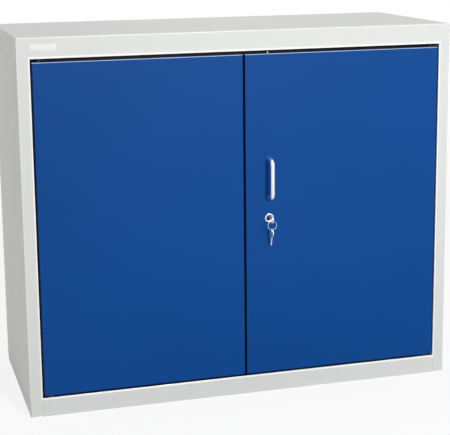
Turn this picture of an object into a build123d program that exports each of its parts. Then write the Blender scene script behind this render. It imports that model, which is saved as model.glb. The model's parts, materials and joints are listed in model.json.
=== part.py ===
from build123d import *
import os
from math import cos, radians, sqrt

# A low steel cupboard for hazardous materials, with two hinged doors, a tray shelf and a sump tray.
# Sizes are in millimetres. X runs to the right, Y to the back and Z up.
# The origin is on the floor, in the middle of the box round the cupboard and its handle.
# All moving pieces stand as they do with the doors shut and the lock open.

# Carcass
cabinet_width = 950.0
cabinet_depth = 400.0
cabinet_height = 800.0
body_sheet = 1.2
back_sheet = 1.0
inner_bend_radius = 0.8
stile_width = 26.5
top_rail_height = 43.5
base_height = 41.0
reveal_depth = 30.0  # how far the frame runs back beside the doors
stop_lip_width = 15.0
top_stop_height = 16.5
bottom_stop_height = 16.0
bottom_stop_foot = 15.0
rear_flange_width = 15.0
base_foot_width = 20.0
side_foot_gap = 1.5  # the side panels end this far above the floor
link_hole_radius = 3.75
link_hole_from_front = 270.0
link_hole_below_top = 50.0
seam_from_bend = 3.0  # from a corner of the carcass to where its flat wall begins

# Rivets round the back panel
rivet_radius = 1.6
rivet_head_radius = 3.2
rivet_head_height = 1.0
rivet_head_rounding = 0.8
rivet_tail_length = 0.8
rivet_edge_distance = 8.5
rivets_across = 7
rivets_up = 4
back_panel_inset = 2.0

# Doors
door_sheet = 1.0
door_thickness = 20.0
door_side_gap = 3.0
door_middle_gap = 3.0
door_top_gap = 7.0
door_bottom_gap = 3.0
door_lip_width = 16.0
door_free_lip_width = 24.0
stiffener_width = 50.0
stiffener_depth = 15.0
stiffener_foot = 10.0
stiffener_end_gap = 0.5

# Pivots at the top and bottom of each door
pivot_inset = 15.0  # from the door's hinged edge
pivot_setback = 8.0  # from the door's front
pin_radius = 3.0
pin_head_radius = 5.5
pin_head_height = 2.5
pin_reach = 12.0  # how far a pin runs into its door
bush_wall = 1.6
bush_body_length = 11.0
bush_flange_radius = 6.5
bush_flange_thickness = 1.4
washer_radius = 7.0
washer_thickness = 1.4

# Rubber door buffers
buffer_radius = 4.0
buffer_from_middle = 90.0
buffer_gap = 0.3
buffer_above_lip_edge = 5.6  # the upper buffers, on the top stop

# Handle on the right door
hardware_from_middle = 54.5
handle_bar_radius = 4.5
handle_centres = 83.0
handle_projection = 30.0
handle_corner_radius = 11.0
handle_height = 482.0
handle_screw_radius = 2.0
handle_screw_length = 9.0
handle_screw_end_gap = 1.0
handle_screw_head_radius = 4.0
handle_screw_head_height = 2.6

# Lock
lock_below_handle = 46.5  # from the handle's lower leg to the lock's axis
rosette_radius = 10.0
rosette_thickness = 2.5
rosette_edge = 0.8
barrel_radius = 9.0
barrel_end_gap = 1.0
lock_nut_across_flats = 24.0
lock_nut_thickness = 4.0
plug_radius = 6.0
plug_recess = 0.2
plug_tail_side = 7.0
cam_radius = 12.0
cam_thickness = 2.8
cam_pin_radius = 2.5
cam_pin_throw = 8.5
cam_pin_overrun = 1.0
cam_turn = 90.0  # degrees from open to locked

# Lock rods and the left door's draw bolts
rod_radius = 2.5
rod_tip_chamfer = 0.8
rod_offset = 5.0  # each rod runs beside the lock's axis, the upper one to its right
rod_plate_thickness = 3.0
rod_plate_end_width = 8.0
rod_plate_lap = 12.0  # length over which a rod is welded to its plate
rod_lip_gap = 0.4  # between a rod's plate and the plane of the door's lips
rod_plate_wall = 3.0
rod_plate_split = 1.6
cam_to_rod_gap = 0.6
slot_clearance = 0.35
upper_tip_rise = 2.5  # past the door's top edge, with the lock open
lower_tip_drop = 1.5
bolt_width = 12.0
bolt_thickness = 3.0
bolt_tip_chamfer = 2.0
bolt_length = 72.0
bolt_rest_inset = 1.0  # a drawn bolt's tip stands this far inside the door's edge
bolt_knob_radius = 4.5
bolt_knob_length = 8.0
bolt_knob_from_edge = 38.0
guide_sheet = 1.2
guide_height = 10.0
guide_foot = 4.0
guide_side_gap = 0.5
guide_face_gap = 0.4
guide_from_edge = 9.0
second_guide_from_edge = 55.0
frame_hole_gap = 1.4

# Keys
key_thickness = 2.0
key_blade_height = 7.6
key_blade_length = 15.0
key_shank_length = 6.0
keyway_clearance = 0.25
key_bow_radius = 9.5
key_hole_offset = 4.0
key_hole_radius = 4.0
key_notch_depth = 1.3
key_notch_pitch = 3.4
key_first_notch = 2.7  # from the end of the blade
key_notches = 4
ring_inner_radius = 8.8
ring_wire_radius = 0.85
ring_hang_gap = 0.5
spare_hang_gap = 0.25
spare_tilt = 18.0  # degrees that the spare key leans towards the door

# Uprights, clips and trays
upright_width = 25.0
upright_depth = 10.0
upright_end_gap = 1.0
front_upright_from_front = 60.0
rear_upright_from_back = 33.0
slot_pitch = 25.0
slot_width = 12.0
slot_height = 5.0
first_slot_height = 75.0
last_slot_reach = 28.0  # least distance from the last slot to the top of the doors' opening
slots_below_tray = 13
clip_width = 10.0
clip_thickness = 2.0
clip_reach = 20.0
clip_leg_below = 12.0
clip_rise = 14.0  # from the clip's hook to the tray
clip_hook_height = 8.0
clip_gap = 0.2
tray_sheet = 1.2
tray_corner_radius = 4.0
tray_hem_height = 8.0
tray_shelf_height = 45.0
tray_side_gap = 8.8  # to the uprights
tray_from_front = 40.0
sump_height = 65.0
sump_side_gap = 3.8
sump_from_front = 50.0
tray_back_gap = 6.8

# Label plate
label_width = 54.0
label_height = 13.0
label_thickness = 0.6
label_from_side = 27.0
label_below_top = 14.0
label_corner_radius = 1.5

# Cuts run this far past the faces that they open
cut_margin = 1.0

# Fits
turning_clearance = 0.05  # radial, pins in bushes and the plug in its barrel
fixed_clearance = 0.05  # radial, pieces that are held in a hole

# Places that several pieces share
half_width = cabinet_width / 2
front_y = (handle_projection - cabinet_depth) / 2
back_panel_rear_y = front_y + cabinet_depth - rivet_head_height
carcass_rear_y = back_panel_rear_y - back_sheet
opening_half_width = half_width - stile_width
opening_top = cabinet_height - top_rail_height
wall_inner_x = half_width - body_sheet
outer_bend_radius = inner_bend_radius + body_sheet
side_top = cabinet_height - outer_bend_radius
rail_half_width = opening_half_width + outer_bend_radius  # the top rail is welded to flat stile there
reveal_back_y = front_y + reveal_depth
stop_front_y = reveal_back_y - body_sheet
flange_front_y = carcass_rear_y - body_sheet
floor_rear_y = flange_front_y - inner_bend_radius
wall_y = (front_y + seam_from_bend, carcass_rear_y - seam_from_bend)

door_back_y = front_y + door_thickness
door_inner_y = front_y + door_sheet
door_bottom = base_height + door_bottom_gap
door_top = opening_top - door_top_gap
door_free_x = door_middle_gap / 2
door_hinge_x = opening_half_width - door_side_gap
door_centre_x = (door_free_x + door_hinge_x) / 2
pivot_x = door_hinge_x - pivot_inset
pivot_y = front_y + pivot_setback
bush_radius = pin_radius + turning_clearance + bush_wall
lock_height = handle_height - handle_centres / 2 - lock_below_handle

rod_front_y = door_back_y + rod_lip_gap
rod_plate_back_y = rod_front_y + rod_plate_thickness
rod_y = rod_plate_back_y
bolt_back_y = rod_front_y + bolt_thickness
cam_back_y = rod_front_y - cam_to_rod_gap
cam_front_y = cam_back_y - cam_thickness
barrel_back_y = cam_front_y - barrel_end_gap
rosette_front_y = front_y - rosette_thickness
pin_offset = cam_pin_throw * cos(radians(cam_turn / 2))
upper_rod_x = hardware_from_middle + rod_offset
lower_rod_x = hardware_from_middle - rod_offset
bolt_x = -(door_free_x + door_free_lip_width / 2)
upper_tip_z = door_top + upper_tip_rise
lower_tip_z = door_bottom - lower_tip_drop

front_upright_y = front_y + front_upright_from_front
rear_upright_y = carcass_rear_y - rear_upright_from_back
upright_face_x = wall_inner_x - upright_depth
slot_room = opening_top - last_slot_reach - first_slot_height
slot_heights = [first_slot_height + n * slot_pitch for n in range(int(slot_room / slot_pitch) + 1)]
tray_slot_height = first_slot_height + slots_below_tray * slot_pitch
hook_z = tray_slot_height - slot_height / 2 + fixed_clearance
tray_bottom = hook_z + clip_rise
tray_back_y = flange_front_y - tray_back_gap

# Along a key, from the end of its blade to the middle of its bow and of its hole
bow_along = key_blade_length + key_shank_length + key_bow_radius
hole_along = bow_along + key_hole_offset

# The key ring hangs from the strip of bow below the key's hole
ring_y = rosette_front_y + key_blade_length - hole_along
bow_chord = sqrt(key_bow_radius**2 - key_hole_offset**2)
strip_half_width = (bow_chord - key_hole_radius) / 2
strip_z = lock_height - (bow_chord + key_hole_radius) / 2
ring_z = strip_z - (ring_inner_radius - strip_half_width - ring_hang_gap)
ring_radius = ring_inner_radius + ring_wire_radius
spare_pivot_z = ring_z - ring_radius


def block(x, y, z):
    """A box from the first to the second place on each axis."""
    middle = [(a + b) / 2 for a, b in (x, y, z)]
    return Pos(*middle) * Box(*[abs(b - a) for a, b in (x, y, z)])


def upright_bar(x, y, radius, z):
    """A cylinder along Z."""
    return Pos(x, y, (z[0] + z[1]) / 2) * Cylinder(radius, abs(z[1] - z[0]))


def level_bar(x, z, radius, y):
    """A cylinder along Y."""
    return Pos(x, (y[0] + y[1]) / 2, z) * Rot(90, 0, 0) * Cylinder(radius, abs(y[1] - y[0]))


def cross_bar(y, z, radius, x):
    """A cylinder along X."""
    return Pos((x[0] + x[1]) / 2, y, z) * Rot(0, 90, 0) * Cylinder(radius, abs(x[1] - x[0]))


def mirrored(shape):
    """The same shape on the other side of the cabinet's middle."""
    return mirror(shape, about=Plane.YZ)


def swept(face, plane, start, end):
    """The solid between two places along the plane's normal, whose section is a face drawn on the plane."""
    return extrude(plane.offset(start) * face, amount=end - start, dir=plane.z_dir)


def turns_left(before, corner, after):
    """Whether a line through three points turns to the left."""
    run = (corner[0] - before[0], corner[1] - before[1])
    turn = (after[0] - corner[0], after[1] - corner[1])
    return run[0] * turn[1] - run[1] * turn[0] > 0


def folded(points, thickness):
    """The section of a folded sheet, whose points run along one face with the sheet on their left."""
    corners = zip(points, points[1:], points[2:])
    outer = inner_bend_radius + thickness
    radii = [outer if turns_left(*three) else inner_bend_radius for three in corners]
    line = FilletPolyline(*points, radius=radii)
    return make_face(offset(line, amount=thickness, side=Side.LEFT, closed=True))


def pan(x, y, z, open_side, sheet, radius):
    """A folded pan. open_side is the axis and the end, 0 or 1, at which it is open."""
    spans = [list(x), list(y), list(z)]
    axis, end = open_side
    outer = block(*spans)
    inner_spans = [[a + sheet, b - sheet] for a, b in spans]
    inner_spans[axis][end] = spans[axis][end]
    inner = block(*inner_spans)
    depth = (Axis.X, Axis.Y, Axis.Z)[axis]
    closed_face = -1 if end == 0 else 0
    rounded = []
    for shape, bend in ((outer, radius), (inner, radius - sheet)):
        edges = shape.faces().sort_by(depth)[closed_face].edges() + shape.edges().filter_by(depth)
        rounded.append(fillet(edges, bend))
    return rounded[0], rounded[0] - rounded[1]


def link_holes(panel):
    """The side panel with the hole by which a second cabinet is bolted to this one."""
    y = front_y + link_hole_from_front
    z = cabinet_height - link_hole_below_top
    x = (-half_width - cut_margin, half_width + cut_margin)
    return panel - cross_bar(y, z, link_hole_radius, x)


def rivet_places():
    """X and Z of each rivet round the back panel."""
    reach_x = half_width - rivet_edge_distance
    top_z = side_top - rivet_edge_distance
    bottom_z = base_height / 2
    across = [-reach_x + 2 * reach_x * n / (rivets_across - 1) for n in range(rivets_across)]
    up = [bottom_z + (top_z - bottom_z) * n / (rivets_up + 1) for n in range(1, rivets_up + 1)]
    middle = across[1:-1]
    ends = [(x, z) for x in (-reach_x, reach_x) for z in (*up, top_z, bottom_z)]
    return ends + [(x, z) for x in middle for z in (top_z, bottom_z)]


def without_rivet_holes(shape):
    """The shape with a hole for each rivet that reaches it."""
    span = (flange_front_y - cut_margin, back_panel_rear_y + cut_margin)
    box = shape.bounding_box()
    for x, z in rivet_places():
        if box.min.X < x < box.max.X and box.min.Z < z < box.max.Z:
            shape = shape - level_bar(x, z, rivet_radius + fixed_clearance, span)
    return shape


def left_side_panel():
    """The flat left wall, between the corner of the stile and that of the rear flange."""
    return link_holes(block((-half_width, -wall_inner_x), wall_y, (side_foot_gap, side_top)))


def left_stile():
    """The stile left of the doors, folded back into the reveal."""
    outline = [
        (-half_width, wall_y[0]),
        (-half_width, front_y),
        (-opening_half_width, front_y),
        (-opening_half_width, reveal_back_y),
    ]
    stile = swept(folded(outline, body_sheet), Plane.XY, side_foot_gap, side_top)
    corner_x = (-rail_half_width, -opening_half_width + cut_margin)
    corner_y = (front_y - cut_margin, reveal_back_y + cut_margin)
    return stile - block(corner_x, corner_y, (opening_top, cabinet_height))


def left_door_stop():
    """The strip at the back of the left reveal that the left door closes against."""
    x = (-opening_half_width, -opening_half_width + stop_lip_width)
    return block(x, (stop_front_y, reveal_back_y), (base_height, opening_top))


def left_rear_flange():
    """The left rear corner, whose flange carries the back panel."""
    outline = [
        (-half_width + rear_flange_width, carcass_rear_y),
        (-half_width, carcass_rear_y),
        (-half_width, wall_y[1]),
    ]
    return without_rivet_holes(swept(folded(outline, body_sheet), Plane.XY, side_foot_gap, side_top))


def top_panel():
    """The top sheet with its rounded edges turned down."""
    x = (-half_width, half_width)
    y = (front_y, carcass_rear_y)
    below = side_top - body_sheet
    _, tray = pan(x, y, (below, cabinet_height), (2, 0), body_sheet, outer_bend_radius)
    return tray - block(x, y, (below, side_top))


def rear_top_strip():
    """The strip under the back edge of the top, which carries the back panel."""
    reach = half_width - rear_flange_width
    z = (side_top - rear_flange_width, side_top)
    return without_rivet_holes(block((-reach, reach), (flange_front_y, carcass_rear_y), z))


def top_rail():
    """The front rail over the doors, folded back into a return and the upper door stop."""
    outline = [
        (front_y, side_top),
        (front_y, opening_top),
        (stop_front_y, opening_top),
        (stop_front_y, opening_top - top_stop_height),
    ]
    lip_x = opening_half_width - stop_lip_width
    rail = swept(folded(outline, body_sheet), Plane.YZ, -rail_half_width, rail_half_width)
    for side in (-1, 1):
        rail = rail - block(
            (side * lip_x, side * half_width),
            (stop_front_y - cut_margin, reveal_back_y + cut_margin),
            (opening_top - top_stop_height - cut_margin, opening_top),
        )
    hole_z = (opening_top - cut_margin, opening_top + body_sheet + cut_margin)
    return rail - pin_holes(hole_z) - frame_holes(upper_rod_x, opening_top + body_sheet / 2)


def front_plinth():
    """The bottom rail, folded back into the front of the floor and into a foot."""
    outline = [
        (reveal_back_y, base_height),
        (front_y, base_height),
        (front_y, 0),
        (front_y + base_foot_width, 0),
    ]
    rail = swept(folded(outline, body_sheet), Plane.YZ, -opening_half_width, opening_half_width)
    hole_z = (base_height - body_sheet - cut_margin, base_height + cut_margin)
    return rail - pin_holes(hole_z) - frame_holes(lower_rod_x, base_height - body_sheet / 2)


def rear_plinth():
    """The channel under the back of the floor."""
    front = carcass_rear_y - base_foot_width
    outline = [
        (front, 0),
        (carcass_rear_y, 0),
        (carcass_rear_y, base_height - body_sheet),
        (front, base_height - body_sheet),
    ]
    channel = swept(folded(outline, body_sheet), Plane.YZ, -opening_half_width, opening_half_width)
    return without_rivet_holes(channel)


def left_runner():
    """The channel under the left side of the floor."""
    inner = base_foot_width - wall_inner_x
    outline = [
        (inner, base_height - body_sheet),
        (-wall_inner_x, base_height - body_sheet),
        (-wall_inner_x, 0),
        (inner, 0),
    ]
    return swept(folded(outline, body_sheet), Plane.XZ, -floor_rear_y, -reveal_back_y)


def floor_panel():
    """The flat floor behind the front plinth."""
    x = (-wall_inner_x, wall_inner_x)
    return block(x, (reveal_back_y, floor_rear_y), (base_height - body_sheet, base_height))


def pin_holes(z):
    """The holes for the doors' pivot pins."""
    radius = pin_radius + fixed_clearance
    return [upright_bar(side * pivot_x, pivot_y, radius, z) for side in (-1, 1)]


def frame_holes(rod_x, z):
    """The holes that a lock rod and a draw bolt enter, through the sheet at this height."""
    height = (z - body_sheet, z + body_sheet)
    rod_hole = upright_bar(rod_x, rod_y, rod_radius + frame_hole_gap, height)
    half = bolt_width / 2 + frame_hole_gap
    slot_y = (rod_front_y - frame_hole_gap, bolt_back_y + frame_hole_gap)
    return rod_hole + block((bolt_x - half, bolt_x + half), slot_y, height)


def bottom_door_stop():
    """The angle on the floor that the doors close against."""
    outline = [
        (stop_front_y, base_height + bottom_stop_height),
        (stop_front_y, base_height),
        (stop_front_y + bottom_stop_foot, base_height),
    ]
    reach = opening_half_width - stop_lip_width
    return swept(folded(outline, body_sheet), Plane.YZ, -reach, reach)


def back_panel():
    """The flat sheet on the back."""
    x = half_width - back_panel_inset
    y = (carcass_rear_y, back_panel_rear_y)
    z = (side_foot_gap + back_panel_inset, side_top - back_panel_inset / 2)
    return without_rivet_holes(block((-x, x), y, z))


def back_rivets():
    """The rivets that hold the back panel."""
    tail_y = flange_front_y - rivet_tail_length
    head_y = back_panel_rear_y + rivet_head_height
    rivets = []
    for x, z in rivet_places():
        head = level_bar(x, z, rivet_head_radius, (back_panel_rear_y, head_y))
        head = fillet(head.edges().sort_by(Axis.Y)[-1], rivet_head_rounding)
        rivets.append(head + level_bar(x, z, rivet_radius, (tail_y, back_panel_rear_y)))
    return Compound(rivets)


def label_plate():
    """The small bare plate on the top rail."""
    top = cabinet_height - label_below_top
    left_x = -half_width + label_from_side
    x = (left_x, left_x + label_width)
    plate = block(x, (front_y - label_thickness, front_y), (top - label_height, top))
    return fillet(plate.edges().filter_by(Axis.Y), label_corner_radius)


def left_upright(y):
    """A slotted channel on the left wall."""
    face_x = -upright_face_x
    outline = [
        (-wall_inner_x, y - upright_width / 2),
        (face_x, y - upright_width / 2),
        (face_x, y + upright_width / 2),
        (-wall_inner_x, y + upright_width / 2),
    ]
    ends = (base_height + upright_end_gap, opening_top - upright_end_gap)
    channel = swept(folded(outline, body_sheet), Plane.XY, *ends)
    slots = [
        block(
            (face_x - 2 * body_sheet, face_x + cut_margin),
            (y - slot_width / 2, y + slot_width / 2),
            (z - slot_height / 2, z + slot_height / 2),
        )
        for z in slot_heights
    ]
    return channel - slots


def left_clip(y):
    """A clip that hooks into an upright and carries the tray shelf."""
    face_x = -upright_face_x
    behind = face_x - body_sheet - clip_gap
    front = face_x + clip_thickness
    points = [
        (face_x, hook_z - clip_leg_below),
        (front, hook_z - clip_leg_below),
        (front, tray_bottom - clip_thickness),
        (face_x + clip_reach, tray_bottom - clip_thickness),
        (face_x + clip_reach, tray_bottom),
        (face_x, tray_bottom),
        (face_x, hook_z + clip_thickness),
        (behind, hook_z + clip_thickness),
        (behind, hook_z + clip_hook_height),
        (behind - clip_thickness, hook_z + clip_hook_height),
        (behind - clip_thickness, hook_z),
        (face_x, hook_z),
    ]
    face = make_face(Polyline(*points, close=True))
    return swept(face, Plane.XZ, -y - clip_width / 2, -y + clip_width / 2)


def shelf_clips():
    """The four clips."""
    left = [left_clip(y) for y in (front_upright_y, rear_upright_y)]
    return Compound(left + [mirrored(clip) for clip in left])


def tray(half_x, y, bottom, height):
    """A liquid-tight tray with a hemmed rim."""
    x = (-half_x, half_x)
    z = (bottom, bottom + height)
    outer, shell = pan(x, y, z, (2, 1), tray_sheet, tray_corner_radius)
    hem_z = (z[1] - tray_hem_height, z[1])
    hem_inset = 2 * tray_sheet
    hem_radius = tray_corner_radius - hem_inset
    window_x = (x[0] + hem_inset, x[1] - hem_inset)
    window_y = (y[0] + hem_inset, y[1] - hem_inset)
    window = block(window_x, window_y, hem_z)
    window = fillet(window.edges().filter_by(Axis.Z), hem_radius)
    band = outer & block(x, y, hem_z)
    return shell + (band - window)


def tray_shelf():
    """The tray shelf on its clips."""
    y = (front_y + tray_from_front, tray_back_y)
    return tray(upright_face_x - tray_side_gap, y, tray_bottom, tray_shelf_height)


def sump_tray():
    """The deep tray on the floor of the cabinet, which catches what leaks."""
    y = (front_y + sump_from_front, tray_back_y)
    return tray(upright_face_x - sump_side_gap, y, base_height, sump_height)


def door_buffers():
    """The four rubber buffers that the doors close on."""
    y = (door_back_y + buffer_gap, stop_front_y)
    upper_z = opening_top - top_stop_height + buffer_above_lip_edge
    lower_z = base_height + bottom_stop_height / 2
    places = [(x, z) for x in (-buffer_from_middle, buffer_from_middle) for z in (lower_z, upper_z)]
    return Compound([level_bar(x, z, buffer_radius, y) for x, z in places])


def both_sides(shape):
    """The shape and its mirror image, as two solids."""
    return Compound([*shape.solids(), *mirrored(shape).solids()])


def top_pivot_pins():
    """The pins that hang down from the top rail into the doors."""
    head_z = opening_top + body_sheet
    shank = upright_bar(pivot_x, pivot_y, pin_radius, (door_top - pin_reach, head_z))
    head = upright_bar(pivot_x, pivot_y, pin_head_radius, (head_z, head_z + pin_head_height))
    return both_sides(shank + head)


def bottom_pivot_pins():
    """The pins that stand up from the floor into the doors."""
    head_z = base_height - body_sheet
    shank = upright_bar(pivot_x, pivot_y, pin_radius, (head_z, door_bottom + pin_reach))
    head = upright_bar(pivot_x, pivot_y, pin_head_radius, (head_z - pin_head_height, head_z))
    return both_sides(shank + head)


def pivot_washers():
    """The washers that the doors turn on."""
    z = (base_height, base_height + washer_thickness)
    ring = upright_bar(pivot_x, pivot_y, washer_radius, z)
    return both_sides(ring - upright_bar(pivot_x, pivot_y, pin_radius + turning_clearance, z))


def right_door_bushes():
    """The flanged bushes in the top and the bottom of the right door."""
    bushes = []
    for edge, inwards in ((door_top, -1), (door_bottom, 1)):
        body_z = (edge, edge + inwards * bush_body_length)
        flange_z = (edge, edge - inwards * bush_flange_thickness)
        bush = upright_bar(pivot_x, pivot_y, bush_radius, body_z)
        bush = bush + upright_bar(pivot_x, pivot_y, bush_flange_radius, flange_z)
        bore = upright_bar(pivot_x, pivot_y, pin_radius + turning_clearance, (body_z[1], flange_z[1]))
        bushes.append(bush - bore)
    return Compound(bushes)


def door_shell():
    """The right door's folded pan with its lips and its holes for the bushes."""
    x = (door_free_x, door_hinge_x)
    y = (front_y, door_back_y)
    z = (door_bottom, door_top)
    outer, shell = pan(x, y, z, (1, 1), door_sheet, inner_bend_radius + door_sheet)
    lip_y = (door_back_y - door_sheet, door_back_y)
    window_x = (door_free_x + door_free_lip_width, door_hinge_x - door_lip_width)
    window_z = (door_bottom + door_lip_width, door_top - door_lip_width)
    lips = (outer & block(x, lip_y, z)) - block(window_x, lip_y, window_z)
    panel = shell + lips
    for edge in (door_bottom, door_top):
        hole_z = (edge - 2 * door_sheet, edge + 2 * door_sheet)
        panel = panel - upright_bar(pivot_x, pivot_y, bush_radius + fixed_clearance, hole_z)
    return panel


def right_door_panel():
    """The right door with its holes for the lock and the handle."""
    sheet_y = (front_y - cut_margin, door_inner_y + cut_margin)
    lock_hole = level_bar(hardware_from_middle, lock_height, barrel_radius + fixed_clearance, sheet_y)
    panel = door_shell() - lock_hole
    for z in handle_ends():
        panel = panel - level_bar(hardware_from_middle, z, handle_screw_radius + fixed_clearance, sheet_y)
    return panel


def right_door_stiffener():
    """The channel that is welded inside the right door."""
    half = stiffener_width / 2
    web_y = door_inner_y + stiffener_depth
    outline = [
        (door_centre_x - half - stiffener_foot, door_inner_y),
        (door_centre_x - half, door_inner_y),
        (door_centre_x - half, web_y),
        (door_centre_x + half, web_y),
        (door_centre_x + half, door_inner_y),
        (door_centre_x + half + stiffener_foot, door_inner_y),
    ]
    margin = door_sheet + inner_bend_radius + stiffener_end_gap
    return swept(folded(outline, door_sheet), Plane.XY, door_bottom + margin, door_top - margin)


def handle_ends():
    """Heights of the handle's two legs."""
    return handle_height - handle_centres / 2, handle_height + handle_centres / 2


def handle():
    """The bow handle, bent from round bar, with a blind hole for a screw in each leg."""
    low, high = handle_ends()
    bar_y = front_y - handle_projection + handle_bar_radius
    points = [(front_y, low), (bar_y, low), (bar_y, high), (front_y, high)]
    line = Plane.YZ.offset(hardware_from_middle) * FilletPolyline(*points, radius=handle_corner_radius)
    section = Plane(line @ 0, z_dir=line % 0) * Circle(handle_bar_radius)
    bow = sweep(section, path=line)
    for z in (low, high):
        hole_y = (front_y - handle_screw_length, front_y)
        bow = bow - level_bar(hardware_from_middle, z, handle_screw_radius + fixed_clearance, hole_y)
    return bow


def handle_screws():
    """The two screws that hold the handle from inside the door."""
    screws = []
    for z in handle_ends():
        head_y = (door_inner_y, door_inner_y + handle_screw_head_height)
        shank_y = (front_y - handle_screw_length + handle_screw_end_gap, door_inner_y)
        head = level_bar(hardware_from_middle, z, handle_screw_head_radius, head_y)
        shank = level_bar(hardware_from_middle, z, handle_screw_radius, shank_y)
        screws.append(head + shank)
    return Compound(screws)


def lock_housing():
    """The rosette and the barrel that the plug turns in."""
    rosette = level_bar(hardware_from_middle, lock_height, rosette_radius, (rosette_front_y, front_y))
    rosette = fillet(rosette.edges().sort_by(Axis.Y)[0], rosette_edge)
    barrel = level_bar(hardware_from_middle, lock_height, barrel_radius, (front_y, barrel_back_y))
    bore_y = (rosette_front_y, barrel_back_y)
    bore = level_bar(hardware_from_middle, lock_height, plug_radius + turning_clearance, bore_y)
    return rosette + barrel - bore


def lock_nut():
    """The nut that clamps the lock behind the door's sheet."""
    corner_radius = lock_nut_across_flats / sqrt(3)
    y = (door_inner_y, door_inner_y + lock_nut_thickness)
    hexagon = Pos(hardware_from_middle, lock_height) * RegularPolygon(corner_radius, 6)
    nut = swept(hexagon, Plane.XZ, -y[1], -y[0])
    return nut - level_bar(hardware_from_middle, lock_height, barrel_radius + fixed_clearance, y)


def square_tail(side):
    """The square on the end of the plug that carries the cam."""
    x = (hardware_from_middle - side / 2, hardware_from_middle + side / 2)
    return block(x, (cam_front_y, cam_back_y), (lock_height - side / 2, lock_height + side / 2))


def lock_plug():
    """The plug that the key turns, with its keyway."""
    front = rosette_front_y + plug_recess
    plug = level_bar(hardware_from_middle, lock_height, plug_radius, (front, cam_front_y))
    half_x = key_thickness / 2 + keyway_clearance
    half_z = key_blade_height / 2 + keyway_clearance
    keyway = block(
        (hardware_from_middle - half_x, hardware_from_middle + half_x),
        (front, rosette_front_y + key_blade_length + keyway_clearance),
        (lock_height - half_z, lock_height + half_z),
    )
    return plug - keyway + square_tail(plug_tail_side)


def lock_cam():
    """The disc on the plug, whose two pins drive the lock rods."""
    disc = level_bar(hardware_from_middle, lock_height, cam_radius, (cam_front_y, cam_back_y))
    pin_y = (cam_back_y, rod_plate_back_y + cam_pin_overrun)
    for side in (-1, 1):
        x = hardware_from_middle + side * pin_offset
        disc = disc + level_bar(x, lock_height + side * pin_offset, cam_pin_radius, pin_y)
    return disc - square_tail(plug_tail_side + 2 * fixed_clearance)


def lock_rod(length):
    """A lock rod that runs up from the lock. The lock's axis is at the origin of X and Z."""
    pin_space = cam_pin_radius + slot_clearance
    reach = cam_pin_throw + pin_space + rod_plate_wall
    foot = pin_offset + pin_space + rod_plate_wall
    shoulder = foot + rod_plate_split
    inner = -rod_plate_split / 2
    left = rod_offset - rod_plate_end_width / 2
    right = rod_offset + rod_plate_end_width / 2
    lap_start = shoulder + left + reach
    points = [
        (-reach, -foot),
        (inner, -foot),
        (inner, shoulder),
        (right, shoulder + right - inner),
        (right, lap_start + rod_plate_lap),
        (left, lap_start + rod_plate_lap),
        (left, lap_start),
        (-reach, shoulder),
    ]
    plate = make_face(Polyline(*points, close=True))
    slot = SlotCenterToCenter(cam_pin_throw - pin_offset, 2 * pin_space)
    plate = plate - Pos(-(cam_pin_throw + pin_offset) / 2, -pin_offset) * slot
    bar = upright_bar(rod_offset, rod_y, rod_radius, (lap_start, length))
    bar = chamfer(bar.edges().sort_by(Axis.Z)[-1], rod_tip_chamfer)
    return swept(plate, Plane.XZ, -rod_plate_back_y, -rod_front_y) + bar


def upper_lock_rod():
    """The rod that runs up to the top rail."""
    return Pos(hardware_from_middle, 0, lock_height) * lock_rod(upper_tip_z - lock_height)


def lower_lock_rod():
    """The rod that runs down to the floor."""
    rod = lock_rod(lock_height - lower_tip_z)
    return Pos(hardware_from_middle, 0, lock_height) * Rot(0, 180, 0) * rod


def guide(x, z, half_width, back_y):
    """A bridge over a rod or a bolt, fixed to the lip of a door."""
    half = half_width + guide_side_gap
    bridge_y = back_y + guide_face_gap
    foot = guide_sheet + guide_foot
    outline = [
        (x - half - foot, door_back_y),
        (x - half, door_back_y),
        (x - half, bridge_y),
        (x + half, bridge_y),
        (x + half, door_back_y),
        (x + half + foot, door_back_y),
    ]
    return swept(folded(outline, guide_sheet), Plane.XY, z - guide_height / 2, z + guide_height / 2)


def rod_guides():
    """The guides of the lock rods on the right door."""
    places = ((upper_rod_x, door_top - guide_from_edge), (lower_rod_x, door_bottom + guide_from_edge))
    return Compound([guide(x, z, rod_radius, rod_y + rod_radius) for x, z in places])


def bolt_guides():
    """The guides of the draw bolts on the left door."""
    guides = []
    for distance in (guide_from_edge, second_guide_from_edge):
        for z in (door_top - distance, door_bottom + distance):
            guides.append(guide(bolt_x, z, bolt_width / 2, bolt_back_y))
    return Compound(guides)


def draw_bolt(tip, away, knob_z):
    """A bolt on the left door. away is 1 where the bolt runs up from its tip, and otherwise -1."""
    half = bolt_width / 2
    points = [
        (bolt_x - half, tip + away * bolt_length),
        (bolt_x + half, tip + away * bolt_length),
        (bolt_x + half, tip + away * bolt_tip_chamfer),
        (bolt_x + half - bolt_tip_chamfer, tip),
        (bolt_x - half + bolt_tip_chamfer, tip),
        (bolt_x - half, tip + away * bolt_tip_chamfer),
    ]
    flat = make_face(Polyline(*points, close=True))
    knob = level_bar(bolt_x, knob_z, bolt_knob_radius, (bolt_back_y, bolt_back_y + bolt_knob_length))
    return swept(flat, Plane.XZ, -bolt_back_y, -rod_front_y) + knob


def top_draw_bolt():
    """The draw bolt at the top of the left door."""
    return draw_bolt(door_top - bolt_rest_inset, -1, door_top - bolt_knob_from_edge)


def bottom_draw_bolt():
    """The draw bolt at the bottom of the left door."""
    return draw_bolt(door_bottom + bolt_rest_inset, 1, door_bottom + bolt_knob_from_edge)


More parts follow.
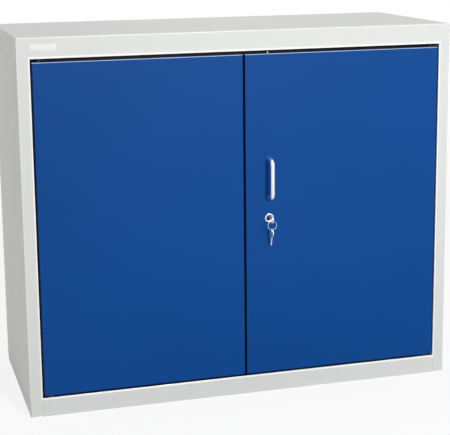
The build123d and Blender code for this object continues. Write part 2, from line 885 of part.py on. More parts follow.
def flat_key():
    """A key that lies along X from the end of its blade, flat in X and Y."""
    half = key_blade_height / 2
    blade = Pos(bow_along / 2, 0) * Rectangle(bow_along, key_blade_height)
    for n in range(key_notches):
        notch_at = Pos(key_first_notch + n * key_notch_pitch, half)
        blade = blade - notch_at * RegularPolygon(key_notch_depth, 4)
    outline = blade + Pos(bow_along, 0) * Circle(key_bow_radius)
    outline = outline - Pos(hole_along, 0) * Circle(key_hole_radius)
    return extrude(outline, amount=key_thickness / 2, both=True)


def key():
    """The key in the lock. Its blade points to the back, and it is flat in Y and Z."""
    end_y = rosette_front_y + key_blade_length
    return Pos(hardware_from_middle, end_y, lock_height) * Rot(0, 0, -90) * Rot(90, 0, 0) * flat_key()


def key_ring():
    """The ring that hangs from the key's bow."""
    return Pos(hardware_from_middle, ring_y, ring_z) * Rot(90, 0, 0) * Torus(ring_radius, ring_wire_radius)


def spare_key():
    """The second key, which hangs on the ring and leans towards the door."""
    below = key_hole_radius - ring_wire_radius - spare_hang_gap
    hung = Pos(0, 0, -below) * Rot(0, -90, 0) * Pos(-hole_along, 0, 0) * flat_key()
    hung = Rot(spare_tilt, 0, 0) * hung
    return Pos(hardware_from_middle, ring_y, spare_pivot_z) * hung


pieces = {
    "left_side_panel": left_side_panel(),
    "right_side_panel": mirrored(left_side_panel()),
    "left_stile": left_stile(),
    "right_stile": mirrored(left_stile()),
    "left_door_stop": left_door_stop(),
    "right_door_stop": mirrored(left_door_stop()),
    "left_rear_flange": left_rear_flange(),
    "right_rear_flange": mirrored(left_rear_flange()),
    "top_panel": top_panel(),
    "rear_top_strip": rear_top_strip(),
    "top_rail": top_rail(),
    "floor_panel": floor_panel(),
    "front_plinth": front_plinth(),
    "rear_plinth": rear_plinth(),
    "left_runner": left_runner(),
    "right_runner": mirrored(left_runner()),
    "bottom_door_stop": bottom_door_stop(),
    "back_panel": back_panel(),
    "back_rivets": back_rivets(),
    "label_plate": label_plate(),
    "left_front_upright": left_upright(front_upright_y),
    "left_rear_upright": left_upright(rear_upright_y),
    "right_front_upright": mirrored(left_upright(front_upright_y)),
    "right_rear_upright": mirrored(left_upright(rear_upright_y)),
    "shelf_clips": shelf_clips(),
    "tray_shelf": tray_shelf(),
    "sump_tray": sump_tray(),
    "door_buffers": door_buffers(),
    "top_pivot_pins": top_pivot_pins(),
    "bottom_pivot_pins": bottom_pivot_pins(),
    "pivot_washers": pivot_washers(),
    "left_door_panel": mirrored(door_shell()),
    "left_door_stiffener": mirrored(right_door_stiffener()),
    "left_door_bushes": mirrored(right_door_bushes()),
    "bolt_guides": bolt_guides(),
    "top_draw_bolt": top_draw_bolt(),
    "bottom_draw_bolt": bottom_draw_bolt(),
    "right_door_panel": right_door_panel(),
    "right_door_stiffener": right_door_stiffener(),
    "right_door_bushes": right_door_bushes(),
    "handle": handle(),
    "handle_screws": handle_screws(),
    "rod_guides": rod_guides(),
    "lock_housing": lock_housing(),
    "lock_nut": lock_nut(),
    "lock_plug": lock_plug(),
    "lock_cam": lock_cam(),
    "upper_lock_rod": upper_lock_rod(),
    "lower_lock_rod": lower_lock_rod(),
    "key": key(),
    "key_ring": key_ring(),
    "spare_key": spare_key(),
}

os.makedirs("parts", exist_ok=True)
for name, shape in pieces.items():
    export_step(shape, f"parts/{name}.step")
print(f"{len(pieces)} pieces written")
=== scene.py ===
import bmesh
import bpy
import json
from math import pi, radians
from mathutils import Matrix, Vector

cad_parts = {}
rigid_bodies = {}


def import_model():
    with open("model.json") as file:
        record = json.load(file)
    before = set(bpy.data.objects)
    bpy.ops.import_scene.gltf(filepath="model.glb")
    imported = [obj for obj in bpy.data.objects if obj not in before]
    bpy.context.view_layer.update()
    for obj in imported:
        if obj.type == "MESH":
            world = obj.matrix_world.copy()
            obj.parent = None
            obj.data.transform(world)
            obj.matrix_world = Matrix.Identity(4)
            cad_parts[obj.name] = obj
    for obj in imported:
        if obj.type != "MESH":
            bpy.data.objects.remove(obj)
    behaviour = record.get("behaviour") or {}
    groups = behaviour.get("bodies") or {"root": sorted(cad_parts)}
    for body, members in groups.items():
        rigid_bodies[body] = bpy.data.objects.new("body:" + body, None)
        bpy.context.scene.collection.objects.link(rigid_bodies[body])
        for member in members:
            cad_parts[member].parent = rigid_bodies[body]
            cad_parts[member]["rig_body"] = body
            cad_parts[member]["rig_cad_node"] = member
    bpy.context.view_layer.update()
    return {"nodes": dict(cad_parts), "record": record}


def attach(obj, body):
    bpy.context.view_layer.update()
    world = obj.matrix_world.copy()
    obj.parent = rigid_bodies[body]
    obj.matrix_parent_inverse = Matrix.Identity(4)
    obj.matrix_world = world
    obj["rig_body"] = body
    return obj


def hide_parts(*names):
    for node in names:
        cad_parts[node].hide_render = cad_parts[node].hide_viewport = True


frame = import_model()
nodes = frame["nodes"]
bpy.ops.object.select_all(action="DESELECT")
print("cabinet loaded:", len(nodes), "parts")


# Shader building: a Wire is one output of a node, and sums on wires add Math nodes

class Wire:
    def __init__(self, finish, socket):
        self.finish, self.socket = finish, socket

    def sum(self, operation, first, second):
        return self.finish.node("ShaderNodeMath", {"operation": operation}, {0: first, 1: second})

    def __add__(self, other):
        return self.sum("ADD", self, other)

    def __radd__(self, other):
        return self.sum("ADD", other, self)

    def __sub__(self, other):
        return self.sum("SUBTRACT", self, other)

    def __rsub__(self, other):
        return self.sum("SUBTRACT", other, self)

    def __mul__(self, other):
        return self.sum("MULTIPLY", self, other)

    def __rmul__(self, other):
        return self.sum("MULTIPLY", other, self)

    def larger(self, other):
        return self.sum("MAXIMUM", self, other)

    def size(self):
        return self.sum("ABSOLUTE", self, 0)


frontBends = {"flat": 0.997, "bent": 0.95, "side": -0.05, "front": -0.25}  # limits of the sheet's own direction


class Finish:  # a material with its nodes, or with the library of worlds, the surroundings
    def __init__(self, name, library=bpy.data.materials):
        self.owner = library.new(name)
        self.owner.use_nodes = True
        self.tree = self.owner.node_tree
        self.tree.nodes.clear()

    def node(self, kind, settings=None, inputs=None, output=0):
        made = self.tree.nodes.new(kind)
        for name, value in (settings or {}).items():
            setattr(made, name, value)
        for name, value in (inputs or {}).items():
            if isinstance(value, Wire):
                self.tree.links.new(value.socket, made.inputs[name])
            else:
                made.inputs[name].default_value = value
        return Wire(self, made.outputs[output]) if made.outputs else made

    def place(self, stretch=(1, 1, 1)):  # Object coordinates, stretched
        where = self.node("ShaderNodeTexCoord", output="Object")
        return self.node("ShaderNodeMapping", None, {"Vector": where, "Scale": stretch})

    def noise(self, scale, detail, roughness=0.5, stretch=(1, 1, 1)):
        return self.node("ShaderNodeTexNoise", None, {
            "Vector": self.place(stretch), "Scale": scale, "Detail": detail, "Roughness": roughness})

    def between(self, value, low, high):  # 0 at low and 1 at high
        return self.node("ShaderNodeMapRange", {"clamp": True},
                         {"Value": value, "From Min": low, "From Max": high})

    def mixed(self, amount, first, second):
        return self.node("ShaderNodeMix", {"data_type": "RGBA"}, {0: amount, 6: first, 7: second}, 2)

    def bump(self, height, distance, under=None):
        inputs = {"Height": height, "Distance": distance, "Strength": 1.0}
        if under:
            inputs["Normal"] = under
        return self.node("ShaderNodeBump", None, inputs)

    def axes(self, vector):
        return [self.node("ShaderNodeSeparateXYZ", None, {0: vector}, axis) for axis in range(3)]

    def facing(self):  # the surface's own direction along x, y and z
        return self.axes(self.node("ShaderNodeTexCoord", output="Normal"))

    def frontBend(self):  # 1 where the sheet turns from its front face to another one, 0 on the flats
        x, y, z = self.facing()
        level = x.size().larger(y.size()).larger(z.size())
        turning = self.between(level, frontBends["flat"], frontBends["bent"])
        return turning * self.between(y, frontBends["side"], frontBends["front"])

    def seenRays(self):  # 1 for what the camera sees, straight, in metal or through glass
        kinds = ("Is Camera Ray", "Is Glossy Ray", "Is Transmission Ray")
        camera, glossy, through = [self.node("ShaderNodeLightPath", output=kind) for kind in kinds]
        return camera.larger(glossy).larger(through)

    def surface(self, **inputs):
        names = {name.replace("_", " "): value for name, value in inputs.items()}
        shader = self.node("ShaderNodeBsdfPrincipled", None, names)
        self.node("ShaderNodeOutputMaterial", None, {"Surface": shader})
        return self.owner


# Paint: a powder coat with fine orange peel and faint cloudiness, glossier on the bends, with a painted
# highlight on the front bends and painted shade in the gaps round the doors

# paintedHighlight: the pale colour painted on the frame's front bends and rim, a painted highlight
greyPaint = {
    "name": "light grey powder coat",
    "colour": (0.720, 0.730, 0.708, 1), "cloudy": (0.700, 0.710, 0.690, 1),
    "paintedHighlight": (0.97, 0.97, 0.96, 1), "roughness": 0.50, "gloss": 0.25,
}
# the door paint's paintedHighlight colour is a painted highlight on its top bends, and paintedShade is painted
# shade on its side and foot bends
bluePaint = {
    "name": "gentian blue powder coat",
    "colour": (0.0040, 0.0650, 0.275, 1), "cloudy": (0.0034, 0.0610, 0.262, 1),
    "paintedHighlight": (0.500, 0.640, 0.880, 1), "paintedShade": (0.0010, 0.0060, 0.0240, 1), "roughness": 0.42, "gloss": 0.08,
}
powderCoat = {
    "clouds": {"scale": 2.2, "detail": 3.0}, "cloudFrom": 0.4, "cloudTo": 0.7,
    "peel": {"scale": 620, "detail": 1.5, "roughness": 0.45}, "peelDepth": 0.000030,
    "grain": {"scale": 2600, "detail": 1.0}, "grainDepth": 0.000010,
    "sheen": {"scale": 9.0, "detail": 4.0, "roughness": 0.6}, "sheenShift": 0.07,
    "bendGloss": 0.9, "coatRoughness": 0.15,
}
doorway = {  # the opening of the frame, the painted highlight on its rim, and the near-black painted shade on the returns and stops behind it
    "halfWidth": 0.447, "middle": 0.39875, "halfHeight": 0.35775,
    "rim": 0.0043, "rimFade": 0.0006, "rimFront": -0.1842,
    "gapShade": (0.003, 0.003, 0.004, 1), "gapShadeEdge": (0.0009, 0.0005),
    "gapShadeFront": -0.1838, "gapShadeBack": -0.1500,
    "foot": 0.0385, "fade": 0.0005,
}
doorBends = {"level": 0.0, "rising": 0.10, "top": 0.30}  # how far up a bend of a door faces


def frameLooks(coat):  # painted highlights on the front bends and rim of the grey frame, and the near-black painted shade behind them where the doors close
    x, y, z = coat.axes(coat.place())
    out = (x.size() - doorway["halfWidth"]).larger((z - doorway["middle"]).size() - doorway["halfHeight"])
    front = coat.between(y, doorway["gapShadeFront"], doorway["rimFront"])
    rim = coat.between(out, doorway["rim"] + doorway["rimFade"], doorway["rim"]) * front
    # near-black painted shade on the returns and door stops just behind the doors
    behind = coat.between(y, doorway["rimFront"], doorway["gapShadeFront"])
    gapShade = coat.between(out, *doorway["gapShadeEdge"]) * behind
    gapShade = gapShade * coat.between(y, doorway["gapShadeBack"], doorway["gapShadeBack"] - doorway["fade"])
    bends = coat.frontBend() * coat.between(z, doorway["foot"], doorway["foot"] + doorway["fade"])
    return bends.larger(rim), gapShade, doorway["gapShade"]


def doorLooks(coat):  # a painted highlight on the bend along a door's top edge, and painted shade on the bends along its sides and foot
    bends = coat.frontBend()
    rise = coat.facing()[2]
    light = bends * coat.between(rise, doorBends["rising"], doorBends["top"])
    shaded = bends * coat.between(rise, doorBends["rising"], doorBends["level"])
    return light, shaded, bluePaint["paintedShade"]


def paintFinish(paint, looks):
    coat = Finish(paint["name"])
    paintedHighlight, paintedShade, shadeColour = looks(coat)
    clouds = coat.between(coat.noise(**powderCoat["clouds"]), powderCoat["cloudFrom"], powderCoat["cloudTo"])
    flat = coat.mixed(clouds, paint["colour"], paint["cloudy"])
    # the painted highlight and the painted shade are each mixed into the base colour
    colour = coat.mixed(paintedShade, coat.mixed(paintedHighlight, flat, paint["paintedHighlight"]), shadeColour)
    sheen = coat.noise(**powderCoat["sheen"])
    roughness = paint["roughness"] + (sheen - 0.5) * powderCoat["sheenShift"]
    waves = coat.bump(coat.noise(**powderCoat["peel"]), powderCoat["peelDepth"])
    normal = coat.bump(coat.noise(**powderCoat["grain"]), powderCoat["grainDepth"], waves)
    return coat.surface(Base_Color=colour, Roughness=roughness, Specular_IOR_Level=paint["gloss"],
                        Coat_Weight=paintedHighlight * (1 - paintedShade) * powderCoat["bendGloss"],
                        Coat_Roughness=powderCoat["coatRoughness"], Normal=normal)


# Galvanised sheet: hot-dip spangle, flat crystals that each have their own tone and gloss

spangle = {
    "name": "galvanised sheet", "dark": (0.50, 0.52, 0.53, 1), "light": (0.62, 0.64, 0.65, 1),
    "crystals": 95.0, "crystalTone": 0.6, "crystalGloss": 0.14,
    "dull": {"scale": 7.0, "detail": 4.0, "roughness": 0.6}, "dullTone": 0.4,
    "frost": {"scale": 700, "detail": 3.0}, "frostGloss": 0.12, "frostDepth": 0.00001, "roughness": 0.34,
}


def galvanisedFinish(sheet):
    coat = Finish(sheet["name"])
    crystals = coat.node("ShaderNodeTexVoronoi", {"feature": "F1"},
                         {"Vector": coat.place(), "Scale": sheet["crystals"], "Randomness": 1.0}, "Color")
    tone = coat.node("ShaderNodeSeparateColor", None, {"Color": crystals})
    frost = coat.noise(**sheet["frost"])
    shade = tone * sheet["crystalTone"] + coat.noise(**sheet["dull"]) * sheet["dullTone"]
    colour = coat.mixed(shade, sheet["dark"], sheet["light"])
    roughness = sheet["roughness"] + tone * sheet["crystalGloss"] + (frost - 0.5) * sheet["frostGloss"]
    return coat.surface(Base_Color=colour, Metallic=1.0, Roughness=roughness,
                        Normal=coat.bump(frost, sheet["frostDepth"]))


# Other metals: fine lines along one axis (0, 1 or 2) and a faint stain

drawnMetals = {
    "zinc": {"name": "bright zinc", "dark": (0.60, 0.63, 0.66, 1), "light": (0.70, 0.72, 0.74, 1),
             "roughness": 0.28, "along": 2, "scratch": 0.08, "lines": 420, "metal": 1.0},
    "chrome": {"name": "satin chrome", "dark": (0.84, 0.85, 0.87, 1), "light": (0.90, 0.91, 0.93, 1),
               "roughness": 0.17, "along": 2, "scratch": 0.04, "lines": 260, "metal": 0.72},
    "rosette": {"name": "bright chrome rosette", "dark": (0.80, 0.81, 0.83, 1), "light": (0.86, 0.87, 0.89, 1),
                "roughness": 0.20, "along": 0, "scratch": 0.05, "lines": 300, "metal": 1.0},
    "nickel": {"name": "brushed nickel", "dark": (0.76, 0.77, 0.79, 1), "light": (0.86, 0.87, 0.89, 1),
               "roughness": 0.26, "along": 1, "scratch": 0.08, "lines": 420, "metal": 0.6},
    "ring": {"name": "nickelled spring wire", "dark": (0.76, 0.79, 0.88, 1), "light": (0.84, 0.87, 0.95, 1),
             "roughness": 0.22, "along": 0, "scratch": 0.05, "lines": 500, "metal": 1.0},
    "plug_metal": {"name": "dark bronzed brass",
                   "dark": (0.030, 0.016, 0.009, 1), "light": (0.065, 0.036, 0.021, 1),
                   "roughness": 0.38, "along": 1, "scratch": 0.08, "lines": 420, "metal": 1.0},
    "rivet_metal": {"name": "rivet aluminium", "dark": (0.68, 0.69, 0.70, 1), "light": (0.78, 0.79, 0.80, 1),
                    "roughness": 0.36, "along": 0, "scratch": 0.08, "lines": 420, "metal": 1.0},
    "pins": {"name": "blackened steel", "dark": (0.020, 0.020, 0.022, 1), "light": (0.045, 0.045, 0.048, 1),
             "roughness": 0.45, "along": 2, "scratch": 0.08, "lines": 420, "metal": 1.0},
}
drawing = {"detail": 3.0, "roughness": 0.6, "alongLines": 0.04, "depth": 0.000006,
           "stain": {"scale": 40, "detail": 3.0}, "toneFrom": 0.35, "toneTo": 0.65}


def drawnFinish(metal):
    coat = Finish(metal["name"])
    stretch = [1.0, 1.0, 1.0]
    stretch[metal["along"]] = drawing["alongLines"]
    lines = coat.noise(metal["lines"], drawing["detail"], drawing["roughness"], stretch)
    stain = coat.noise(**drawing["stain"])
    tone = coat.between(lines * 0.5 + stain * 0.5, drawing["toneFrom"], drawing["toneTo"])
    colour = coat.mixed(tone, metal["dark"], metal["light"])
    rough = metal["roughness"] + (lines - 0.5) * metal["scratch"] + (stain - 0.5) * metal["scratch"]
    return coat.surface(Base_Color=colour, Metallic=metal["metal"], Roughness=rough,
                        Normal=coat.bump(lines, drawing["depth"]))


# Moulded nylon and rubber, and the lacquer of the label plate: a fine speckle with a pale bloom

mouldings = {
    "plate_metal": {"name": "white lacquered plate",
                    "colour": (0.80, 0.80, 0.80, 1), "pale": (0.84, 0.84, 0.83, 1), "roughness": 0.45},
    "nylon": {"name": "black nylon", "colour": (0.030, 0.030, 0.032, 1), "pale": (0.050, 0.050, 0.052, 1),
              "roughness": 0.5},
    "rubber": {"name": "black rubber", "colour": (0.018, 0.018, 0.018, 1), "pale": (0.034, 0.034, 0.034, 1),
               "roughness": 0.7},
}
mouldSkin = {"speckle": {"scale": 900, "detail": 2.0}, "speckleGloss": 0.1, "speckleDepth": 0.00003,
             "bloom": {"scale": 60, "detail": 3.0}, "bloomFrom": 0.45, "bloomTo": 0.75}


def mouldedFinish(moulding):
    coat = Finish(moulding["name"])
    speckle = coat.noise(**mouldSkin["speckle"])
    bloom = coat.between(coat.noise(**mouldSkin["bloom"]), mouldSkin["bloomFrom"], mouldSkin["bloomTo"])
    return coat.surface(Base_Color=coat.mixed(bloom, moulding["colour"], moulding["pale"]),
                        Roughness=moulding["roughness"] + (speckle - 0.5) * mouldSkin["speckleGloss"],
                        Normal=coat.bump(speckle, mouldSkin["speckleDepth"]))


finishes = {
    "grey_paint": paintFinish(greyPaint, frameLooks),
    "blue_paint": paintFinish(bluePaint, doorLooks),
    "galvanised": galvanisedFinish(spangle),
}
for key, metal in drawnMetals.items():
    finishes[key] = drawnFinish(metal)
for key, moulding in mouldings.items():
    finishes[key] = mouldedFinish(moulding)

slotOf = {part["node"]: part["material_slot"] for part in frame["record"]["subparts"]}
for name, part in nodes.items():
    part.data.materials.clear()
    part.data.materials.append(finishes["pins" if name.endswith("pivot_pins") else slotOf[name]])
print("finishes on all parts")


# Modelling aids

meshCare = {"mergeWithin": 0.000002, "flatWithin": 1.0, "smoothUpTo": 35}


def lookAt(piece):
    bpy.ops.object.select_all(action="DESELECT")
    piece.select_set(True)
    bpy.context.view_layer.objects.active = piece


def settle(name):  # names the new piece and moves its place into its mesh
    piece = bpy.context.object
    piece.name = name
    piece.data.name = name
    bpy.ops.object.transform_apply(location=True, rotation=True, scale=True)
    return piece


def modified(piece, kind, **settings):
    lookAt(piece)
    added = piece.modifiers.new(kind.title(), kind)
    for setting, value in settings.items():
        setattr(added, setting, value)
    bpy.ops.object.modifier_apply(modifier=added.name)


def ringOfEdges(name, radius, sides, location):  # the open circle, square to y, that a piece is drawn out of
    bpy.ops.object.select_all(action="DESELECT")
    bpy.ops.mesh.primitive_circle_add(vertices=sides, radius=radius, location=location, rotation=(pi / 2, 0, 0))
    piece = settle(name)
    bpy.ops.object.mode_set(mode="EDIT")
    bpy.ops.mesh.select_mode(type="EDGE")
    bpy.ops.mesh.select_all(action="SELECT")
    return piece


def turned(name, x, z, stations, sides):  # a lathe piece along y, drawn out through (radius, y) stations
    piece = ringOfEdges(name, stations[0][0], sides, (x, stations[0][1], z))
    for (radius, y), (nextRadius, nextY) in zip(stations, stations[1:]):
        bpy.ops.mesh.extrude_region_move(TRANSFORM_OT_translate={"value": (0, nextY - y, 0)})
        if nextRadius != radius:
            grow = nextRadius / radius
            bpy.ops.transform.resize(value=(grow, 1, grow), center_override=(x, nextY, z))
    return piece


def closed(piece, smoothUpTo=meshCare["smoothUpTo"]):  # fills open ends and leaves edit mode
    bpy.ops.mesh.select_all(action="SELECT")
    bpy.ops.mesh.remove_doubles(threshold=meshCare["mergeWithin"])
    bpy.ops.mesh.select_all(action="DESELECT")
    bpy.ops.mesh.select_mode(type="EDGE")
    bpy.ops.mesh.select_non_manifold()
    mesh = bmesh.from_edit_mesh(piece.data)
    if any(edge.select for edge in mesh.edges):
        bpy.ops.mesh.fill_holes(sides=0)
    bpy.ops.mesh.select_all(action="SELECT")
    bpy.ops.mesh.normals_make_consistent(inside=False)
    bpy.ops.object.mode_set(mode="OBJECT")
    bpy.ops.object.shade_smooth_by_angle(angle=radians(smoothUpTo))


def dressed(piece, finish, slotName, body, *replaced):
    piece.data.materials.clear()
    piece.data.materials.append(finish)
    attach(piece, body)
    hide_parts(*replaced)
    print("made", piece.name)


def mergedCopy(node, name):  # a solid's mesh as one clean shell
    lookAt(nodes[node])
    bpy.ops.object.duplicate(linked=False)
    piece = bpy.context.object
    piece.name = name
    piece.data.name = name
    piece.parent = None
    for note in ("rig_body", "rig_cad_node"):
        del piece[note]
    bpy.ops.object.mode_set(mode="EDIT")
    bpy.ops.mesh.select_all(action="SELECT")
    bpy.ops.mesh.customdata_custom_splitnormals_clear()
    bpy.ops.mesh.remove_doubles(threshold=meshCare["mergeWithin"])
    bpy.ops.mesh.dissolve_limited(angle_limit=radians(meshCare["flatWithin"]))
    bpy.ops.object.mode_set(mode="OBJECT")
    return piece


# Handle: round bar bent twice, one ring of edges drawn out, spun and drawn out again

handleShape = {"x": 0.0545, "door": -0.185, "low": 0.4405, "high": 0.5235, "bar": 0.0045, "reach": 0.0255,
               "bend": 0.011, "sides": 40, "bendSteps": 14}


def makeHandle():
    shape = handleShape
    leg = shape["reach"] - shape["bend"]
    bendY = shape["door"] - shape["reach"] + shape["bend"]
    bendLow, bendHigh = shape["low"] + shape["bend"], shape["high"] - shape["bend"]
    grip = shape["high"] - shape["low"] - 2 * shape["bend"]
    steps = shape["bendSteps"]
    bow = ringOfEdges("handleBow", shape["bar"], shape["sides"], (shape["x"], shape["door"], shape["low"]))
    bpy.ops.mesh.extrude_region_move(TRANSFORM_OT_translate={"value": (0, -leg, 0)})
    bpy.ops.mesh.spin(steps=steps, angle=pi / 2, axis=(1, 0, 0), center=(shape["x"], bendY, bendLow))
    bpy.ops.mesh.extrude_region_move(TRANSFORM_OT_translate={"value": (0, 0, grip)})
    bpy.ops.mesh.spin(steps=steps, angle=pi / 2, axis=(1, 0, 0), center=(shape["x"], bendY, bendHigh))
    bpy.ops.mesh.extrude_region_move(TRANSFORM_OT_translate={"value": (0, leg, 0)})
    closed(bow)
    dressed(bow, finishes["chrome"], "chrome", "right_door", "handle")


makeHandle()


# Lock: a dished rosette with its threaded barrel, turned in one piece

lockShape = {
    "x": 0.0545, "z": 0.394, "front": -0.1875, "door": -0.185, "back": -0.169, "bore": 0.00605, "barrel": 0.009,
    "dish": ((0.0064, 0.0004), (0.0071, 0.00025), (0.0078, 0.0001), (0.0084, 0.0),  # radius, depth
             (0.0090, 0.0), (0.0095, 0.00015), (0.00985, 0.00045), (0.010, 0.0009)),
    "dishDepth": 0.0006, "rosette": 0.010, "rimBack": 0.0002, "rimBreak": 0.0001,
    "pitch": 0.001, "threadDepth": 0.00045, "threadFrom": -0.1795, "sides": 64,
}


def makeRosette():
    shape = lockShape
    inThread = shape["barrel"] - shape["threadDepth"]
    stations = [(shape["bore"], shape["front"] + shape["dishDepth"])]
    stations += [(radius, shape["front"] + depth) for radius, depth in shape["dish"]]
    stations += [(shape["rosette"], shape["door"] - shape["rimBack"]),
                 (shape["rosette"] - shape["rimBreak"], shape["door"]), (shape["barrel"], shape["door"])]
    place = shape["threadFrom"]
    stations.append((shape["barrel"], place))
    while place < shape["back"] - 1.5 * shape["pitch"]:
        stations.append((inThread, place + shape["pitch"] / 2))
        place = place + shape["pitch"]
        stations.append((shape["barrel"], place))
    stations += [(inThread, shape["back"]), (shape["bore"], shape["back"]), stations[0]]
    piece = turned("lockRosette", shape["x"], shape["z"], stations, shape["sides"])
    closed(piece)
    dressed(piece, finishes["rosette"], "chrome", "right_door", "lock_housing")


makeRosette()


# Small metal pieces: clean copies of their solids with broken edges

brokenEdges = {
    "lock_plug": {"name": "lockPlug", "width": 0.00022, "body": "lock"},
    "lock_nut": {"name": "lockNut", "width": 0.0004, "body": "right_door"},
    "lock_cam": {"name": "lockCam", "width": 0.0003, "body": "lock"},
    "key": {"name": "lockKey", "width": 0.00035, "body": "key"},
    "spare_key": {"name": "spareKey", "width": 0.00035, "body": "spare"},
    "label_plate": {"name": "labelPlate", "width": 0.0002, "body": "carcass"},
    "top_draw_bolt": {"name": "topDrawBolt", "width": 0.0004, "body": "top_bolt"},
    "bottom_draw_bolt": {"name": "bottomDrawBolt", "width": 0.0004, "body": "bottom_bolt"},
    "upper_lock_rod": {"name": "upperLockRod", "width": 0.0003, "body": "upper_rod"},
    "lower_lock_rod": {"name": "lowerLockRod", "width": 0.0003, "body": "lower_rod"},
    "shelf_clips": {"name": "shelfClips", "width": 0.0003, "body": "carcass"},
}
edgeBreak = {"segments": 2, "sharperThan": 40}


def breakEdges(node, piece):
    copy = mergedCopy(node, piece["name"])
    modified(copy, "BEVEL", width=piece["width"], segments=edgeBreak["segments"], limit_method="ANGLE",
             angle_limit=radians(edgeBreak["sharperThan"]), use_clamp_overlap=True)
    lookAt(copy)
    bpy.ops.object.shade_smooth_by_angle(angle=radians(meshCare["smoothUpTo"]))
    dressed(copy, finishes[slotOf[node]], slotOf[node], piece["body"], node)


for node, piece in brokenEdges.items():
    breakEdges(node, piece)


# Key ring: two close turns of spring wire

ringShape = {"centre": (0.0545, -0.207, 0.3817), "radius": 0.00965, "wire": 0.00041, "pitch": 0.00084,
             "turns": 2, "wireSides": 12, "stepsPerTurn": 48, "smoothUpTo": 60}


def makeRing():
    shape = ringShape
    steps, rise = shape["stepsPerTurn"] * shape["turns"], shape["pitch"] * shape["turns"]
    bpy.ops.object.select_all(action="DESELECT")
    bpy.ops.mesh.primitive_circle_add(vertices=shape["wireSides"], radius=shape["wire"], fill_type="NOTHING",
                                      location=(shape["radius"], 0, 0), rotation=(pi / 2, 0, 0))
    ring = settle("keyRing")
    modified(ring, "SCREW", axis="Z", angle=2 * pi * shape["turns"], screw_offset=rise, steps=steps,
             render_steps=steps, use_merge_vertices=False)
    lookAt(ring)
    bpy.ops.object.mode_set(mode="EDIT")
    bpy.ops.mesh.select_all(action="SELECT")
    bpy.ops.transform.translate(value=(0, 0, -rise / 2))
    bpy.ops.transform.rotate(value=pi / 2, orient_axis="X", center_override=(0, 0, 0))
    bpy.ops.transform.translate(value=shape["centre"])
    closed(ring, shape["smoothUpTo"])
    dressed(ring, finishes["ring"], "nickel", "ring", "key_ring")


makeRing()


# Rivets round the back panel: one dimpled head with its tail, copied to every place

rivetShape = {
    "crown": ((0.0006, 0.00035), (0.0009, 0.00035), (0.00105, 0.00004),  # radius, and depth below the top
              (0.0018, 0.0), (0.0025, 0.00015), (0.0030, 0.00045), (0.0032, 0.0008)),
    "head": 0.0032, "shank": 0.0016, "sides": 24,
    "top": 0.215, "panel": 0.214, "tail": 0.211, "tailBreak": 0.0002,
    "reach": 0.4665, "low": 0.0205, "high": 0.7895, "across": 7, "up": 4,
}


def rivetPlaces(shape):
    across = [-shape["reach"] + 2 * shape["reach"] * n / (shape["across"] - 1) for n in range(shape["across"])]
    rise = (shape["high"] - shape["low"]) / (shape["up"] + 1)
    up = [shape["low"] + rise * n for n in range(1, shape["up"] + 1)]
    places = [(x, z) for x in (-shape["reach"], shape["reach"]) for z in up]
    return places + [(x, z) for x in across for z in (shape["low"], shape["high"])]


def makeRivets():
    shape = rivetShape
    stations = [(radius, shape["top"] - depth) for radius, depth in shape["crown"]]
    stations += [(shape["head"], shape["panel"]), (shape["shank"], shape["panel"]),
                 (shape["shank"], shape["tail"] + shape["tailBreak"]),
                 (shape["shank"] - shape["tailBreak"], shape["tail"])]
    (x, z), *others = rivetPlaces(shape)
    first = turned("backRivets", x, z, stations, shape["sides"])
    closed(first)
    copies = [first]
    for nextX, nextZ in others:
        lookAt(first)
        bpy.ops.object.duplicate(linked=False)
        copies.append(bpy.context.object)
        bpy.ops.transform.translate(value=(nextX - x, 0, nextZ - z))
        bpy.ops.object.transform_apply(location=True, rotation=False, scale=False)
    bpy.ops.object.select_all(action="DESELECT")
    for copy in copies:
        copy.select_set(True)
    bpy.context.view_layer.objects.active = first
    bpy.ops.object.join()
    dressed(first, finishes["rivet_metal"], "rivet_metal", "carcass", "back_rivets")


makeRivets()
print("small pieces made")


# Stage: pale floor, white surroundings, soft lamps

floorLooks = {
    "size": 14, "colour": (0.80, 0.80, 0.80, 1), "pale": (0.83, 0.83, 0.83, 1), "roughness": 0.6,
    "speckle": {"scale": 18, "detail": 4.0},
    "white": (1, 1, 1, 1), "nearGlow": 0.85, "glowFrom": 1.2, "glowTo": 4.0,
}
surroundings = {"light": 0.10, "seen": 1.0, "white": (1, 1, 1, 1)}


def floorFinish():  # the far floor melts into the white surroundings
    coat = Finish("studio floor")
    away = coat.node("ShaderNodeVectorMath", {"operation": "LENGTH"}, {0: coat.place()}, "Value")
    far = coat.between(away, floorLooks["glowFrom"], floorLooks["glowTo"])
    glowing = floorLooks["nearGlow"] + far * (1 - floorLooks["nearGlow"])
    colour = coat.mixed(coat.noise(**floorLooks["speckle"]), floorLooks["colour"], floorLooks["pale"])
    matt = coat.node("ShaderNodeBsdfDiffuse", None, {"Color": colour, "Roughness": floorLooks["roughness"]})
    glow = coat.node("ShaderNodeEmission", None, {"Color": floorLooks["white"], "Strength": 1.0})
    both = coat.node("ShaderNodeMixShader", None, {0: coat.seenRays() * glowing, 1: matt, 2: glow})
    coat.node("ShaderNodeOutputMaterial", None, {"Surface": both})
    return coat.owner


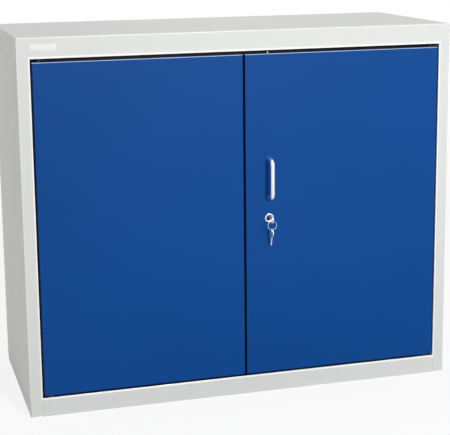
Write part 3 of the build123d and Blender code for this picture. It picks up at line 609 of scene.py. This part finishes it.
def whiteStudio():  # faint light on the object, and white where it is seen or mirrored
    sky = Finish("white studio", bpy.data.worlds)
    level = sky.node("ShaderNodeMapRange", {"clamp": True}, {
        "Value": sky.seenRays(), "To Min": surroundings["light"], "To Max": surroundings["seen"]})
    back = sky.node("ShaderNodeBackground", None, {"Color": surroundings["white"], "Strength": level})
    sky.node("ShaderNodeOutputWorld", None, {"Surface": back})
    return sky.owner


bpy.ops.object.select_all(action="DESELECT")
bpy.ops.mesh.primitive_plane_add(size=floorLooks["size"], location=(0, 0, 0))
floor = bpy.context.object
floor.name = "studioFloor"
floor.data.materials.append(floorFinish())
bpy.context.scene.world = whiteStudio()

lamps = {  # the low lamps stand below the cabinet's top, which would mirror them
    "frontLamp": {"place": (0.52, -3.45, 1.58), "size": 0.7, "power": 87},
    "fillLamp": {"place": (2.4, -2.6, 0.9), "size": 1.8, "power": 10},
    "overheadLamp": {"place": (0.1, 0.6, 2.9), "size": 1.8, "power": 24},
    "sideLamp": {"place": (-3.0, 0.2, 1.3), "size": 1.4, "power": 19.5},
    "highBackLamp": {"place": (1.4, 3.0, 2.4), "size": 2.2, "power": 6},
    "rightLamp": {"place": (3.1, 0.5, 0.38), "size": 0.74, "power": 15},
    "lowBackLamp": {"place": (0.2, 3.4, 0.38), "size": 0.74, "power": 24},
}
aim = Vector((0.0, -0.05, 0.42))  # what every lamp points at
for name, lamp in lamps.items():
    bpy.ops.object.light_add(type="AREA", location=lamp["place"])
    made = bpy.context.object
    made.name = name
    made.data.size = lamp["size"]
    made.data.energy = lamp["power"]
    made.rotation_euler = (aim - Vector(lamp["place"])).to_track_quat("-Z", "Y").to_euler()

cameraSettings = {"place": (-0.785, -2.741, 1.018), "turn": (78.899, 0.589, -16.286), "lens": 102.0,
                  "sensor": 36, "shiftY": -0.0956, "farthest": 50}
bpy.ops.object.camera_add(location=cameraSettings["place"],
                          rotation=[radians(angle) for angle in cameraSettings["turn"]])
camera = bpy.context.object
camera.name = "photoCamera"
camera.data.lens = cameraSettings["lens"]
camera.data.sensor_width = cameraSettings["sensor"]
camera.data.shift_y = cameraSettings["shiftY"]
camera.data.clip_end = cameraSettings["farthest"]
bpy.context.scene.camera = camera
bpy.context.scene.view_settings.view_transform = "Standard"
print("stage, lamps and camera set")
